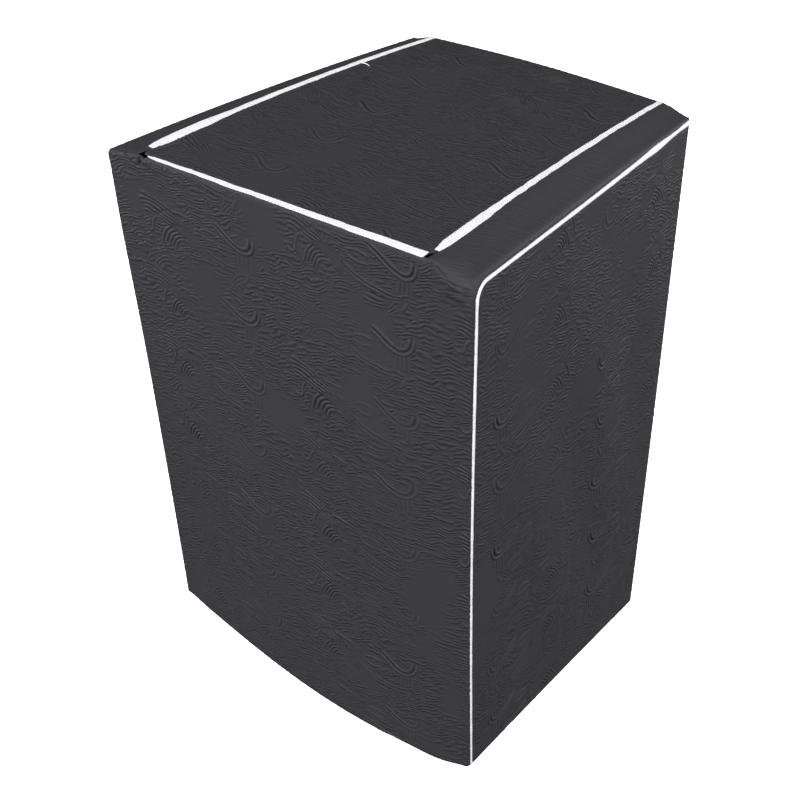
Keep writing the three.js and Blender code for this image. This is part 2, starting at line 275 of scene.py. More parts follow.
def front_bow(across, up):
    bulge = 1 - (2 * np.clip(across, 0, 1) ** HEM_BOW_LEAN - 1) ** 2
    return HEM_BOW * bulge * (1 - up) ** 1.3


def slack(across, up, turns):
    fade = np.sin(pi * across) * np.sin(pi * np.clip(up, 0, 1))
    return SLACK * fade * np.sin(turns * pi * (across + 0.6 * up) + turns)


def piping_radius(turn):
    low = mix(PIPING_RADIUS["hem"], PIPING_RADIUS["corner"], np.clip(turn, 0, 1))
    top = mix(PIPING_RADIUS["corner"], PIPING_RADIUS["rear"], share(turn, 2, 3))
    return np.where(turn <= 2, low, top)


def seam_setback(turn):
    """From the outer faces to the piping's middle, at 0 to 1 up the front and 2 to 3 back along the top"""
    up, back = np.clip(turn, 0, 1), share(turn, 2, 3)
    front = mix(SEAM_SETBACK["hem"], SEAM_SETBACK["corner"], up**4)
    top = mix(SEAM_SETBACK["corner"], SEAM_SETBACK["rear"], back)
    sway = SEAM_SWAY["front"] * np.sin(pi * up) + SEAM_SWAY["top"] * np.sin(pi * back)
    return np.where(turn <= 1, front, top) + sway


def under_piping(turn):
    """How far short of the piping's middle the cloth on either side of it ends, hidden in the cord"""
    return 0.5 * piping_radius(turn)


def band_form(across, turn):
    """The band: turn is 0 to 1 up the front, to 2 over the edge and to 3 back along the top"""
    side = side_of(2 * across - 1)
    beside = np.abs(2 * across - 1)
    flat, around = share(beside, 0, ROLL_SHARE), share(beside, ROLL_SHARE, 1) * pi / 2
    up, angle, back = np.clip(turn, 0, 1), np.clip(turn - 1, 0, 1) * pi / 2, np.clip(turn - 2, 0, 1)
    flap_share = by_side(side, FLAP_SHARE)
    past_flap = share(flat, flap_share, 1)
    radius = mix(FRONT_EDGE_RADIUS, by_side(side, CORNER_RADIUS), ease(past_flap))
    crest = top_height(side * flat * half_width(side, FRONT_Y, SEAM_LEVEL), FRONT_Y + radius)
    place = (1 + side * flat) / 2
    foot = FRONT_Y - front_bow(place, up) - slack(place, up, 3)
    rear = top_end(side * flat * by_side(side, REAR_TOP_REACH))
    y = np.where(turn <= 1, foot, FRONT_Y + radius * (1 - np.cos(angle)))
    y = np.where(turn > 2, mix(FRONT_Y + radius, rear, back), y)
    rise = np.where(turn <= 1, crest - radius, crest - radius * (1 - np.sin(angle)))
    z = np.where(turn <= 1, mix(hem_height(place, 0), rise, up), rise)

    roll = seam_setback(turn) - under_piping(turn)
    deep = np.maximum(y, FRONT_Y)
    reach = half_width(side, deep, np.where(turn > 2, SEAM_LEVEL, z))
    flap_line = mix(flap_share * reach, np.abs(flap_edge(side, deep)), ease(turn - 1))
    x = np.where(flat <= flap_share, flap_line * flat / flap_share, mix(flap_line, reach - roll, past_flap))
    squareness = by_side(side, ROLL_SQUARENESS)
    x = side * (x + roll * np.sin(around) ** squareness)
    z = np.where(turn > 2, top_height(x, y), z)
    inward = roll * (1 - np.clip(np.cos(around), 0, 1) ** squareness)
    return np.column_stack([x, y + inward * np.cos(angle), z - inward * np.sin(angle)])


def seam_line(side, turn, past):
    """The side seam seen square on, as y and z, moved inward from the piping's middle"""
    across = 1 if side > 0 else 0
    inward = seam_setback(turn) + past
    radius = SEAM_RADIUS[side] - past
    middle = SEAM_SETBACK["corner"] + SEAM_RADIUS[side]
    start = FRONT_Y + middle
    crest = top_height(side * half_width(side, start, SEAM_LEVEL), start)
    angle = np.clip(turn - 1, 0, 1) * pi / 2
    y = np.where(turn <= 1, FRONT_Y + inward, start - radius * np.cos(angle))
    z = np.where(
        turn <= 1,
        mix(hem_height(across, 0), crest - middle, turn),
        crest - middle + radius * np.sin(angle),
    )
    top_y = mix(start, top_end(side * REAR_TOP_REACH[side]), turn - 2)
    top_z = top_height(side * half_width(side, top_y, SEAM_LEVEL), top_y) - inward
    return np.where(turn > 2, top_y, y), np.where(turn > 2, top_z, z)


def side_form(side):
    across = 1 if side > 0 else 0
    rear = top_end(side * REAR_TOP_REACH[side])
    corner_y = seam_line(side, 1.0, under_piping(1.0))[0]
    hem_y = seam_line(side, 0.0, under_piping(0.0))[0]

    def form(along, up):
        """along is 0 to 1 over the rounded corner and 1 to 2 back along the top, reversed on the left"""
        turn = 1 + (along if side > 0 else 2 - along)
        top_y, top_z = seam_line(side, turn, under_piping(turn))
        part = (top_y - corner_y) / (rear - corner_y)
        hem_z = hem_height(across, part)
        rear_y = rear_depth(side * REAR_HEM_WIDTH / 2, hem_z) - REAR_SEAM_RADIUS / 2
        straight = mix(SEAM_SETBACK["hem"], SEAM_SETBACK["corner"], up)
        sway = (seam_setback(np.clip(up, 0, 1)) - straight) * np.clip(1 - part, 0, 1) ** 6
        y, z = mix(mix(hem_y, rear_y, part), top_y, up) + sway, mix(hem_z, top_z, up)
        x = half_width(side, y, z) + slack(part, up, 4 + side)
        return np.column_stack([side * x, y, z])

    return form


def rolled(distance):
    """How far a face has turned away that near its edge, where it rolls over into the next one"""
    left = np.clip(1 - distance / REAR_SEAM_RADIUS, 0, 1)
    return REAR_SEAM_RADIUS * (1 - np.sqrt(1 - left**2))


def back_form(across, up):
    side = 1 - 2 * across
    rim = top_height(side * by_side(side, REAR_TOP_REACH), REAR_Y)
    hem_z = hem_height(1 - across, 1)
    z = mix(hem_z, rim, up)
    reach = half_width(side, rear_depth(0, z), z)
    beside = (1 - np.abs(side)) * reach
    below = (1 - up) * (rim - hem_z)
    y = rear_depth(side * reach, z) - np.abs(slack(across, up, 2))
    return np.column_stack([side * reach, y - np.maximum(rolled(beside), rolled(below)), z])


def flap_form(across, along):
    from_corner = np.minimum(across, 1 - across) * FLAP_FRONT_REACH[1] * 2
    notch = NOTCH_DEPTH * np.exp(-((from_corner / NOTCH_WIDTH) ** 2))
    front = FRONT_Y + FRONT_TAPE_SETBACK + FLAP_INSET["front"] + notch
    y = mix(front, top_end(mix(-FLAP_REAR_REACH[-1], FLAP_REAR_REACH[1], across)), along)
    inset = mix(FLAP_INSET["front"], FLAP_INSET["rear"], along)
    x = mix(flap_edge(-1, y) + inset, flap_edge(1, y) - inset, across)
    return np.column_stack([x, y, top_height(x, y)])


# How far each point lies from the nearest sewn edge of its panel


def band_gap(across, turn, place):
    x, y, z = place.T
    from_end = 1 - np.abs(2 * across - 1)
    on_roll = from_end / (1 - ROLL_SHARE) * ROLL_LENGTH
    on_flat = ROLL_LENGTH + (from_end - 1 + ROLL_SHARE) * FRONT_TOP_WIDTH / 2
    beside = np.where(from_end < 1 - ROLL_SHARE, on_roll, on_flat)
    side = side_of(x)
    deep = np.maximum(y, FRONT_Y)
    below = np.maximum(top_height(x, FRONT_Y) - (z + deep - FRONT_Y), 0)
    from_tape = np.hypot(np.maximum(np.abs(x) - np.abs(flap_edge(side, deep)), 0), below)
    return np.minimum(np.minimum(beside, from_tape), top_end(x) - y)


def side_gap(side):
    def gap(along, up, place):
        x, y, z = place.T
        crest = top_height(side * half_width(side, y, SEAM_LEVEL), y)
        radius, setback = SEAM_RADIUS[side], SEAM_SETBACK["corner"]
        front = y - FRONT_Y - seam_setback(share(z, 0, SEAM_LEVEL))
        top = crest - z - setback
        corner = radius - np.hypot(radius - front, radius - top)
        at_corner = (front < radius) & (top < radius)
        nearest = np.where(at_corner, corner, np.minimum(front, top))
        return np.minimum(nearest, rear_depth(x, z) - y)

    return gap


def back_gap(across, up, place):
    x, y, z = place.T
    return np.minimum(half_width(x, y, z) - np.abs(x), top_height(x, REAR_Y) - z)


def flap_gap(across, along, place):
    x, y, z = place.T
    beside = np.minimum(x - flap_edge(-1, y), flap_edge(1, y) - x)
    return np.minimum(beside, np.minimum(y - FRONT_Y - FRONT_TAPE_SETBACK, top_end(x) - y))


# The emboss. Its motifs are strokes of near-parallel ridges. A stroke starts at x, y in the repeat, in
# millimetres, heads off at an angle and bends as it goes: each bend is a length and a turn in degrees.
# Its ridges spread over one width at its start and another at its end.
Stroke = namedtuple("Stroke", "name x y heading bends spread ridges depth wobble")

STROKES = (
    Stroke("plume", 10, 80, 20, ((26, -34), (54, -16), (44, -16)), (34, 16), 5, 1.0, 0.12),
    Stroke("hook", 20, 50, -112, ((24, 196), (24, -44), (40, -42), (24, -8)), (7, 7), 1, 1.0, 0.0),
    Stroke("arches", 58, 22, 96, ((28, -56), (34, -66), (14, -24)), (32, 18), 5, 0.95, 0.10),
    Stroke("curl", 84, 16, 118, ((24, -200), (12, -60)), (6, 4), 1, 0.8, 0.0),
    Stroke("bowl", 146, 92, -20, ((36, -16), (24, 20), (28, 96), (12, 16)), (14, 16), 2, 1.15, 0.0),
    Stroke("leaf upper", 120, 66, 32, ((42, -58),), (7, 7), 1, 0.9, 0.0),
    Stroke("leaf lower", 120, 64, -36, ((40, 62),), (7, 7), 1, 0.8, 0.0),
    Stroke("leaf rib", 128, 66, 4, ((20, -16),), (5, 4), 1, 0.6, 0.0),
    Stroke("stream", 110, 52, -42, ((36, 26), (52, 16)), (10, 13), 2, 0.8, 0.08),
    Stroke("bars", 138, 17, 4, ((20, -10), (24, 14)), (26, 18), 4, 0.8, 0.2),
    Stroke("rays", 176, 2, 28, ((26, 34),), (10, 26), 4, 0.6, 0.2),
    Stroke("columns", 206, 28, 86, ((34, 10), (18, -24)), (28, 24), 4, 0.4, 0.1),
    Stroke("columns foot", 196, 8, 30, ((28, 54),), (10, 10), 1, 0.6, 0.0),
)
STROKE_STEP = 1.2
STROKE_END = 10
RAGGED = 9
WOBBLE_SIZE = 26


def stroke_path(stroke):
    """Points along a stroke, each with its heading"""
    x, y, heading = stroke.x, stroke.y, radians(stroke.heading)
    points = [(x, y, heading)]
    for length, turn in stroke.bends:
        steps = round(length / STROKE_STEP)
        for _ in range(steps):
            heading += radians(turn) / steps
            x += length / steps * cos(heading)
            y += length / steps * sin(heading)
            points.append((x, y, heading))
    return np.array(points)


STROKE_PATHS = [stroke_path(stroke) for stroke in STROKES]


def pressed_by(stroke, path, x, y):
    """The ridge that each point lies on, a whole number at a crest, and how deep it is pressed"""
    best = ((x[:, None] - path[:, 0]) ** 2 + (y[:, None] - path[:, 1]) ** 2).argmin(1)
    px, py, heading = path[best].T
    beside = (y - py) * np.cos(heading) - (x - px) * np.sin(heading)
    ahead = (x - px) * np.cos(heading) + (y - py) * np.sin(heading)
    along = best / (len(path) - 1)
    length = len(path) * STROKE_STEP
    width = mix(*stroke.spread, along)
    pitch = width / stroke.ridges
    ridge = beside / pitch + (0.5 if stroke.ridges % 2 == 0 else 0)
    ridge = ridge + stroke.wobble * waves(x, y, WOBBLE_SIZE, 5)
    ragged = RAGGED * np.abs(np.sin(np.round(ridge) * 2.4 + stroke.x)) * (stroke.ridges > 1)
    edge = ease((width / 2 - np.abs(beside)) / (0.45 * pitch) + 0.15)
    ends = ease((along * length - ragged) / STROKE_END) * ease((1 - along) * length / STROKE_END)
    return ridge, stroke.depth * edge * ends * (np.abs(ahead) < STROKE_STEP)


def pressed(u, v, hand):
    """The emboss at points of the cloth, in metres: the ridge and its depth, mirrored for hand -1"""
    x = (hand * u + WANDER * waves(u, v, 0.16, 1)) / MM
    y = (v + WANDER * waves(u, v, 0.19, 2)) / MM
    column = np.floor(x / REPEAT_WIDTH)
    x = x - column * REPEAT_WIDTH
    y = (y + (column % 2) * REPEAT_HEIGHT / 2) % REPEAT_HEIGHT
    ridge, first, second = (np.zeros(len(x)) for _ in range(3))
    for stroke, path in zip(STROKES, STROKE_PATHS):
        margin = max(stroke.spread) / 2 + 1
        for i in (-1, 0, 1):
            for j in (-2, -1, 0, 1, 2):
                sx = x - i * REPEAT_WIDTH
                sy = y - (j + 0.5 * abs(i)) * REPEAT_HEIGHT
                near = (sx > path[:, 0].min() - margin) & (sx < path[:, 0].max() + margin)
                near &= (sy > path[:, 1].min() - margin) & (sy < path[:, 1].max() + margin)
                if not near.any():
                    continue
                found, depth = pressed_by(stroke, path, sx[near], sy[near])
                old = first[near]
                second[near] = np.maximum(second[near], np.minimum(old, depth))
                ridge[near] = np.where(depth > old, found, ridge[near])
                first[near] = np.maximum(old, depth)
    worn = np.clip(WEAR["mean"] + WEAR["swing"] * waves(u, v, WEAR["size"], 7), WEAR["least"], WEAR["most"])
    return ridge, np.clip(first - CROSSING_LOSS * second, 0, None) * worn


# Soft creases of the hang, placed in each panel's flat sizes: from start to end, bowed by bow,
# with the width of its slope and its rise, less than nothing in a trough.
Crease = namedtuple("Crease", "panel start end bow width rise")

CREASES = (
    Crease("cloth_band", (0.247, 0.880), (0.272, 0.866), 0.001, 0.0032, -0.0014),
    Crease("cloth_band", (0.272, 0.861), (0.305, 0.864), -0.0014, 0.0024, -0.0016),
    Crease("cloth_band", (0.276, 0.852), (0.306, 0.854), -0.0014, 0.0026, -0.0020),
    Crease("cloth_band", (0.272, 0.840), (0.300, 0.840), -0.0014, 0.0026, -0.0016),
    Crease("cloth_band", (0.264, 0.831), (0.298, 0.834), -0.0014, 0.0024, -0.0012),
    Crease("cloth_band", (0.286, 0.816), (0.306, 0.819), -0.001, 0.0022, -0.0010),
    Crease("cloth_band", (-0.2385, 0.8895), (-0.2500, 0.8685), 0.0, 0.0026, -0.0075),
    Crease("cloth_band", (-0.2480, 0.866), (-0.222, 0.860), 0.003, 0.0022, -0.0014),
    Crease("cloth_band", (-0.2440, 0.858), (-0.215, 0.856), 0.002, 0.0022, -0.0011),
)
CREASE_FADE = 0.15  # of its length, before and past each end
CREASE_DIVIDED = 0.0004  # the rise past which a crease's faces are divided finer
# Creases get painted shade in the cloth's colour, darkest where they are deepest
CREASE_SHADE_DEPTH = 0.0045  # the depth at which a crease is quite dark


def creased(panel, u, v):
    """How far the panel's creases raise each point"""
    rise = np.zeros(len(u))
    for crease in CREASES:
        if crease.panel != panel.name:
            continue
        start, end = np.array(crease.start), np.array(crease.end)
        length = np.linalg.norm(end - start)
        du, dv = (end - start) / length
        along = ((u - start[0]) * du + (v - start[1]) * dv) / length
        beside = (v - start[1]) * du - (u - start[0]) * dv
        beside = beside - crease.bow * (1 - (2 * np.clip(along, 0, 1) - 1) ** 2)
        fade = ease((along + CREASE_FADE) / (2 * CREASE_FADE))
        fade *= ease((1 + CREASE_FADE - along) / (2 * CREASE_FADE))
        rise += crease.rise * fade * np.exp(-((beside / crease.width) ** 2))
    return rise


# Sheets of cloth


Panel = namedtuple("Panel", "name form gap flat hand relief")


def outward(form, s, t):
    """The way out from the cloth at each point"""
    step = 1e-4
    across = form(s + step, t) - form(s - step, t)
    along = form(s, t + step) - form(s, t - step)
    return unit(np.cross(across, along))


def read_points(mesh):
    points = np.empty(len(mesh.vertices) * 3)
    mesh.vertices.foreach_get("co", points)
    return points.reshape(-1, 3)


def write_points(mesh, points):
    mesh.vertices.foreach_set("co", np.asarray(points, dtype=float).ravel())
    mesh.update()


def write_flat_map(mesh, u, v):
    corners = np.empty(len(mesh.loops), dtype=np.int32)
    mesh.loops.foreach_get("vertex_index", corners)
    layer = mesh.uv_layers.new(name="flat")
    layer.data.foreach_set("uv", np.column_stack([u[corners], v[corners]]).ravel())


def write_attribute(mesh, name, values):
    mesh.attributes.new(name, "FLOAT", "POINT").data.foreach_set("value", values)


def add_piece(name, bm, *materials):
    mesh = bpy.data.meshes.new(name)
    bm.to_mesh(mesh)
    bm.free()
    piece = bpy.data.objects.new(name, mesh)
    bpy.context.scene.collection.objects.link(piece)
    for material in materials:
        mesh.materials.append(material)
    mesh.shade_smooth()
    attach(piece, "root")
    return piece


def put_in_order(bm):
    """Sorts the edges and faces by their points, so that every run orders them alike"""
    bm.verts.index_update()
    count = len(bm.verts)

    def rank(element):
        points = [vert.index for vert in element.verts]
        return min(points) * count + max(points)

    for elements in (bm.edges, bm.faces):
        elements.sort(key=rank)


def divide(bm, faces):
    edges = list({edge for face in faces for edge in face.edges})
    bmesh.ops.subdivide_edges(bm, edges=edges, cuts=1, use_grid_fill=True)


def outer_faces(bm):
    return [face for face in bm.faces if all(vert.co.z > -0.5 for vert in face.verts)]


def cut_cloth(panel, columns, rows, cut_out=None):
    """The panel laid flat in its own coordinates, its inner face one below, finer where the emboss is"""
    bm = bmesh.new()
    bmesh.ops.create_grid(bm, x_segments=len(columns) - 1, y_segments=len(rows) - 1, size=0.5)
    for vert in bm.verts:
        column = round((vert.co.x + 0.5) * (len(columns) - 1))
        row = round((vert.co.y + 0.5) * (len(rows) - 1))
        vert.co = (columns[column], rows[row], 0)
    if cut_out:
        gone = [face for face in bm.faces if cut_out(*face.calc_center_median().xy)]
        bmesh.ops.delete(bm, geom=gone, context="FACES")
    bmesh.ops.solidify(bm, geom=bm.faces[:], thickness=1)
    put_in_order(bm)
    divide(bm, outer_faces(bm))
    divide_relief(bm, panel)
    return bm


def divide_relief(bm, panel):
    """The faces with most of the emboss, and all of those in the creases, are divided once more"""
    faces = outer_faces(bm)
    middles = np.array([face.calc_center_median().xy for face in faces])
    place = panel.form(*middles.T)
    u, v = panel.flat(place)
    depth = pressed(u, v, panel.hand)[1] * ease(panel.gap(*middles.T, place) / PRESSED_FLAT)
    least = max(np.quantile(depth, 1 - FINE_SHARES[panel.name]), LEAST_DIVIDED)
    chosen = (depth > least) | (np.abs(creased(panel, u, v)) > CREASE_DIVIDED)
    divide(bm, [face for face, divided in zip(faces, chosen) if divided])


def sew_cloth(panel, columns, rows, cloth, backing, cut_out=None):
    """The panel's sheet in its place, with its emboss, creases and puckers"""
    piece = add_piece(panel.name, cut_cloth(panel, columns, rows, cut_out), cloth, backing)
    mesh = piece.data
    s, t, layer = read_points(mesh).T
    outer = layer > -0.5
    place = panel.form(s, t)
    u, v = panel.flat(place)
    gap = panel.gap(s, t, place)
    ridge, depth = pressed(u, v, panel.hand)
    pressing = ease(gap / PRESSED_FLAT) * panel.relief(t) * outer
    depth = depth * pressing
    crest = np.abs(np.cos(pi * ridge)) ** 0.8
    pucker = np.sin(2 * pi * (u + v) / PUCKER_PITCH + 1.5 * waves(u, v, 0.06, 11))
    rise = creased(panel, u, v)
    # Painted shade for the creases' troughs, near black where a crease is deepest
    hollow_shade = np.clip(-rise / CREASE_SHADE_DEPTH, 0, 1) * outer
    rise += PUCKER * pucker * waves(u, v, 0.07, 12) * np.exp(-gap / PUCKER_REACH)
    rise -= SEAM_TUCK * (1 - ease(gap / SEAM_TUCK_WIDTH))
    rise += np.where(outer, RELIEF * depth * (crest - 0.5), -CLOTH_THICKNESS)
    write_points(mesh, place + outward(panel.form, s, t) * rise[:, None])
    write_flat_map(mesh, panel.hand * u, v)
    write_attribute(mesh, "ridge", ridge)
    write_attribute(mesh, "ridge_depth", depth)
    write_attribute(mesh, "pressing", pressing)
    write_attribute(mesh, "hollow_shade", hollow_shade)
    for face in mesh.polygons:
        face.material_index = 0 if outer[face.vertices[0]] or outer[face.vertices[1]] else 1
    return piece


def stations(*stretches):
    """Stations along a panel: each stretch is start, end and the length to count cells on"""
    parts = []
    for start, end, length in stretches:
        parts.append(np.linspace(start, end, round(length / CELL) + 1))
    return np.unique(np.concatenate(parts).round(9))


def sew_band(cloth, backing):
    roll = (1 - ROLL_SHARE) / 2
    left, right = ((1 + side * FLAP_SHARE[side] * ROLL_SHARE) / 2 for side in (-1, 1))
    strips = {side: FRONT_TOP_WIDTH / 2 - FLAP_FRONT_REACH[side] for side in (-1, 1)}
    columns = stations(
        (0, roll, 2 * ROLL_LENGTH),
        (roll, left, strips[-1]),
        (left, right, FRONT_TOP_WIDTH - strips[-1] - strips[1]),
        (right, 1 - roll, strips[1]),
        (1 - roll, 1, 2 * ROLL_LENGTH),
    )
    rows = stations((0, 1, FRONT_LENGTH), (1, 2, FRONT_EDGE_LENGTH), (2, 3, DEPTH))
    flat = lambda place: (place[:, 0], place[:, 2] + np.maximum(place[:, 1] - FRONT_Y, 0))
    relief = lambda turn: mix(1, STRIP_RELIEF, ease(turn - 1))
    panel = Panel("cloth_band", band_form, band_gap, flat, 1, relief)
    under_flap = lambda across, turn: turn > 2 and left < across < right
    return sew_cloth(panel, columns, rows, cloth, backing, under_flap)


def sew_side(side, word, cloth, backing):
    columns = stations((0, 1, SIDE_CORNER_LENGTH), (1, 2, DEPTH))
    if side < 0:
        columns = (2 - columns)[::-1]
    rows = stations((0, 1, SIDE_LENGTH))
    flat = lambda place: (place[:, 1], place[:, 2])
    relief = lambda up: mix(SIDE_RELIEF["hem"], SIDE_RELIEF["top"], up)
    panel = Panel(f"cloth_side_{word}", side_form(side), side_gap(side), flat, -1, relief)
    return sew_cloth(panel, columns, rows, cloth, backing)


def sew_back(cloth, backing):
    columns = stations((0, 1, REAR_HEM_WIDTH))
    rows = stations((0, 1, FLAP_HEIGHTS.rear_left))
    flat = lambda place: (-place[:, 0], place[:, 2])
    panel = Panel("cloth_back", back_form, back_gap, flat, 1, lambda up: 1.0)
    return sew_cloth(panel, columns, rows, cloth, backing)


def sew_flap(cloth, backing):
    columns = stations((0, 1, FLAP_FRONT_REACH[-1] + FLAP_FRONT_REACH[1]))
    rows = stations((0, 1, DEPTH))
    flat = lambda place: (place[:, 0], place[:, 1])
    relief = lambda along: mix(FLAP_RELIEF["front"], FLAP_RELIEF["rear"], along)
    panel = Panel("cloth_flap", flap_form, flap_gap, flat, 1, relief)
    return sew_cloth(panel, columns, rows, cloth, backing)


# Piping and tapes: a straight rod is made, and bent to its line


def bent_rod(name, line, half_sizes, across, rod, material):
    """A rod along line(t), t from 0 to 1, with half sizes across and through"""
    path = line(np.linspace(0, 1, 400))
    length = np.linalg.norm(np.diff(path, axis=0), axis=1).sum()
    bm = bmesh.new()
    bmesh.ops.create_cone(bm, cap_ends=True, segments=rod.sides, radius1=1, radius2=1, depth=1)
    lengthways = [edge for edge in bm.edges if abs(edge.verts[0].co.z - edge.verts[1].co.z) > 0.5]
    bmesh.ops.subdivide_edges(bm, edges=lengthways, cuts=round(length / rod.step), use_grid_fill=True)
    piece = add_piece(name, bm, material)
    x, y, z = read_points(piece.data).T
    t = z + 0.5
    forward = unit(line(t + 1e-3) - line(t - 1e-3))
    across = np.array(across, dtype=float)
    sideways = unit(across - (forward @ across)[:, None] * forward)
    through = np.cross(forward, sideways)
    wide, thick = half_sizes(t)
    reach_x = wide * np.sign(x) * np.abs(x) ** rod.squareness
    reach_y = thick * np.sign(y) * np.abs(y) ** rod.squareness
    write_points(piece.data, line(t) + sideways * reach_x[:, None] + through * reach_y[:, None])
    write_flat_map(piece.data, np.arctan2(y, x) * np.mean(wide), t * length)
    return piece


def seam_at(side):
    """The side seam as a line of even steps, with the turn at each"""
    turns = np.linspace(0, 3, 1201)
    y, z = seam_line(side, turns, 0)
    x = side * (half_width(side, y, np.minimum(z, SEAM_LEVEL)) - CLOTH_MIDDLE)
    points = np.column_stack([x, y, z])
    gone = np.concatenate([[0], np.cumsum(np.linalg.norm(np.diff(points, axis=0), axis=1))])
    even = gone / gone[-1]

    def line(t):
        spot = np.clip(t, 0, 1)
        over = (t - spot)[:, None]
        place = np.column_stack([np.interp(spot, even, points[:, axis]) for axis in range(3)])
        ends = np.where(over > 0, points[-1] - points[-2], points[1] - points[0])
        return place + over * unit(ends) * gone[-1]

    return line, lambda t: np.interp(t, even, turns)


def piping_swell(turn):
    """The share of the piping's radius that its swellings add"""
    total = np.zeros(np.shape(turn))
    for swelling in PIPING_SWELLINGS:
        total += swelling.share * np.exp(-(((turn - swelling.turn) / swelling.reach) ** 2))
    return total


def sew_piping(side, word, material):
    line, turn_at = seam_at(side)

    def half_sizes(t):
        turn = turn_at(t)
        uneven = PIPING_UNEVENNESS * waves(t, 0 * t, 0.02, 20 + side)
        radius = piping_radius(turn) * (1 + piping_swell(turn) + uneven)
        return radius, radius

    piece = bent_rod(f"piping_cord_{word}", line, half_sizes, (side, 0, 0), PIPING_ROD, material)
    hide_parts(f"piping_{word}")
    return piece


def side_tape_width(side, depth):
    """By how far back of the front plane it is"""
    back = share(depth, TAPE_TAPER["end"], DEPTH)
    narrow = mix(TAPE_WIDTH_MIDDLE[side], TAPE_WIDTH_REAR[side], back)
    taper = ease(share(depth, TAPE_TAPER["start"], TAPE_TAPER["end"]))
    return mix(TAPE_WIDTH_FRONT[side], narrow, taper)


def side_tape_line(side):
    start = FRONT_Y + FRONT_TAPE_SETBACK + FRONT_TAPE_WIDTH[1] / 2 + CORNER_OPENING[side]
    end = top_end(side * FLAP_REAR_REACH[side]) - SIDE_TAPE_END_SETBACK

    def line(t):
        y = mix(start, end, t)
        x = flap_edge(side, y) + TAPE_SWAY * waves(y, 0 * y, 0.06, 30 + side)
        return np.column_stack([x, y, top_height(x, y)])

    return line


def sew_side_tape(side, word, material):
    line = side_tape_line(side)

    def half_sizes(t):
        y = line(t)[:, 1]
        wide = side_tape_width(side, y - FRONT_Y) / 2 + TAPE_UNEVENNESS * waves(t, 0 * t, 0.05, 32 + side)
        narrowed = mix(TAPE_START_WIDTH["side"], 1, ease(t / TAPE_START_TAPER["side"]) ** 0.6)
        thinned = mix(SIDE_TAPE_START_THICKNESS, 1, ease(t / SIDE_TAPE_START_TAPER))
        return wide * narrowed, TAPE_HALF_THICKNESS * thinned + 0 * t

    piece = bent_rod(f"tape_{word}", line, half_sizes, (1, 0, 0), TAPE_ROD, material)
    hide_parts(f"binding_{word}")
    return piece


def front_tape_line(t):
    x = mix(-FRONT_TAPE_REACH[-1], FRONT_TAPE_REACH[1], t)
    y = FRONT_Y + FRONT_TAPE_SETBACK - FRONT_TAPE_FORWARD * (1 - t) + TAPE_SWAY * waves(x, 0 * x, 0.07, 35)
    return np.column_stack([x, y, top_height(x, y) - FRONT_TAPE_SUNK])


def sew_front_tape(material):
    def half_sizes(t):
        wide = mix(FRONT_TAPE_WIDTH[-1], FRONT_TAPE_WIDTH[1], t) / 2
        wide = wide + TAPE_UNEVENNESS * waves(t, 0 * t, 0.05, 36)
        narrowed = mix(TAPE_START_WIDTH["front"], 1, ease(t / TAPE_START_TAPER["front"]) ** 0.7)
        return wide * narrowed, TAPE_HALF_THICKNESS + 0 * t

    piece = bent_rod("tape_front", front_tape_line, half_sizes, (0, 1, 0), TAPE_ROD, material)
    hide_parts("binding_front")
    return piece


def sew_tape_tail(material):
    """The end of the left tape's fold, a thin tongue that stands off its inner edge"""
    start = TAPE_TAIL_START

    def line(t):
        x = start.x + TAPE_TAIL_LENGTH * t
        y = start.y - TAPE_TAIL_LEAN * TAPE_TAIL_LENGTH * t**1.5
        arch = TAPE_TAIL_ARCH * np.sin(pi * np.clip(t, 0, 1))
        return np.column_stack([x, y, top_height(x, y) + TAPE_TAIL_LIFT + arch])

    def half_sizes(t):
        return TAPE_TAIL_HALF_WIDTH * np.clip(1 - t, 0.05, 1) ** 0.8, TAPE_TAIL_HALF_THICKNESS + 0 * t

    return bent_rod("tape_tail", line, half_sizes, (0, 1, 0), TAIL_ROD, material)


def sew_stitches(name, line, sideways, offset, material):
    """A row of stitches along a tape, a beaded thread, offset sideways from the tape's middle line"""
    ends = line(np.array([0.0, 1.0]))
    count = round(np.linalg.norm(ends[1] - ends[0]) / STITCH_PITCH)

    def row(t):
        inside = mix(*STITCH_SPAN, t)
        raised = np.array((0, 0, TAPE_HALF_THICKNESS))
        return line(inside) + np.outer(offset(inside), sideways) + raised

    def half_sizes(t):
        bead = STITCH_THICKNESS * np.clip(np.abs(np.sin(pi * count * t)), 0.1, 1) ** 0.6
        return bead, bead

    return bent_rod(name, row, half_sizes, sideways, STITCH_ROD, material)


# Finishes

CLOTH_ROUGHNESS, CLOTH_SPECULAR = 0.56, 0.11
CLOTH_TONE_LOW, CLOTH_TONE_HIGH = (0.0330, 0.0324, 0.0340), (0.0345, 0.0330, 0.0415)
# Painted shade in the emboss's grooves, then a painted highlight along its crests, both in the cloth's
# colour
GROOVE_SHADE_TONE, CREST_HIGHLIGHT_TONE = (0.008, 0.008, 0.010), (0.066, 0.065, 0.074)
# Painted shade, near black, in the deepest creases
CREASE_SHADE_TONE = (0.002, 0.002, 0.002)
GROOVE_SHADE_SHARE, CREST_HIGHLIGHT_SHARE = 0.85, 0.30
# The groove line is painted shade and the crest line a painted highlight; the height line is bump
LINE_POWERS = {"height": 1.4, "groove_shade": 1.3, "crest": 6.0}  # more is narrower
RIDGE_BUMP, WRINKLE_BUMP, GRAIN_BUMP = 1.3, 1.1, 0.08  # millimetres
GRAIN_SCALE = 620  # to the metre, as every noise here
